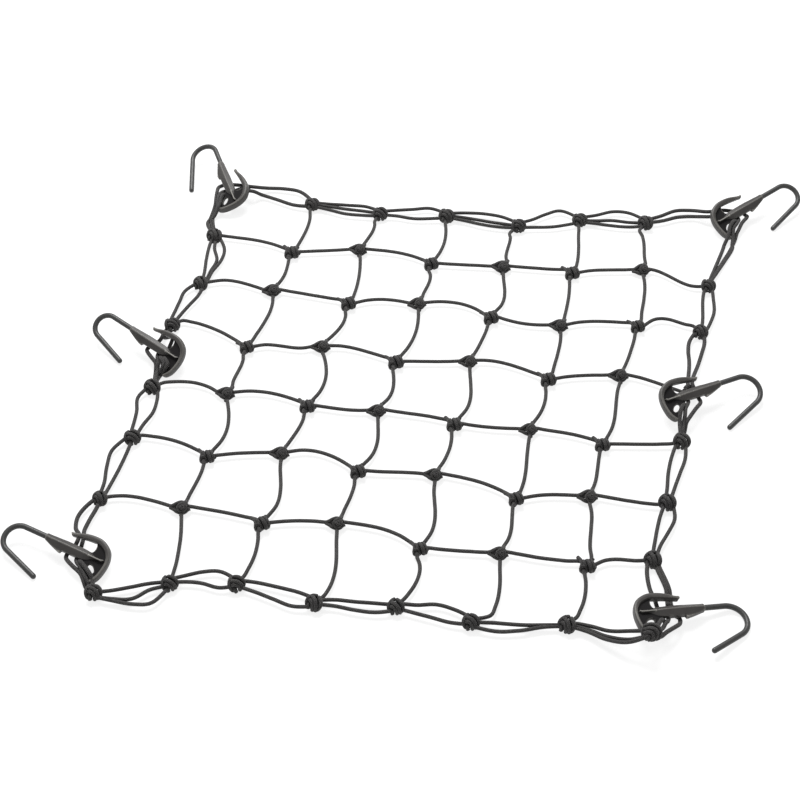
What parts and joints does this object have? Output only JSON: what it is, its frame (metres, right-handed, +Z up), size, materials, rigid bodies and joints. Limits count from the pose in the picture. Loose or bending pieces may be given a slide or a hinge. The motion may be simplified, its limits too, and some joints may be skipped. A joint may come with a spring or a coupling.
{
  "type": "elastic cargo net with hooks",
  "caption": "Knotted elastic cord net, lying flat and unloaded, with moulded plastic hook bodies and coated wire J hooks along its doubled border.",
  "frame": {"origin": "middle of the bounding box's base, on the surface that the net lies on", "axes": "+X along the rows of knots, +Y away from the viewer, +Z up from the surface"},
  "size_m": [0.5524, 0.4934, 0.0258],
  "materials": {
    "cord": "braided textile cover over rubber strands, matt",
    "hook_plastic": "injection moulded, finely grained",
    "wire_coating": "dipped plastic coat over steel wire, satin to glossy"
  },
  "bodies": {
    "root": {"cargo_net": "cord", "hook_body_far_left": "hook_plastic", "hook_body_far_right": "hook_plastic", "hook_body_mid_left": "hook_plastic", "hook_body_mid_right": "hook_plastic", "hook_body_near_left": "hook_plastic", "hook_body_near_right": "hook_plastic", "hook_wire_far_left": "wire_coating", "hook_wire_far_right": "wire_coating", "hook_wire_mid_left": "wire_coating", "hook_wire_mid_right": "wire_coating", "hook_wire_near_left": "wire_coating", "hook_wire_near_right": "wire_coating"}
  },
  "joints": []
}
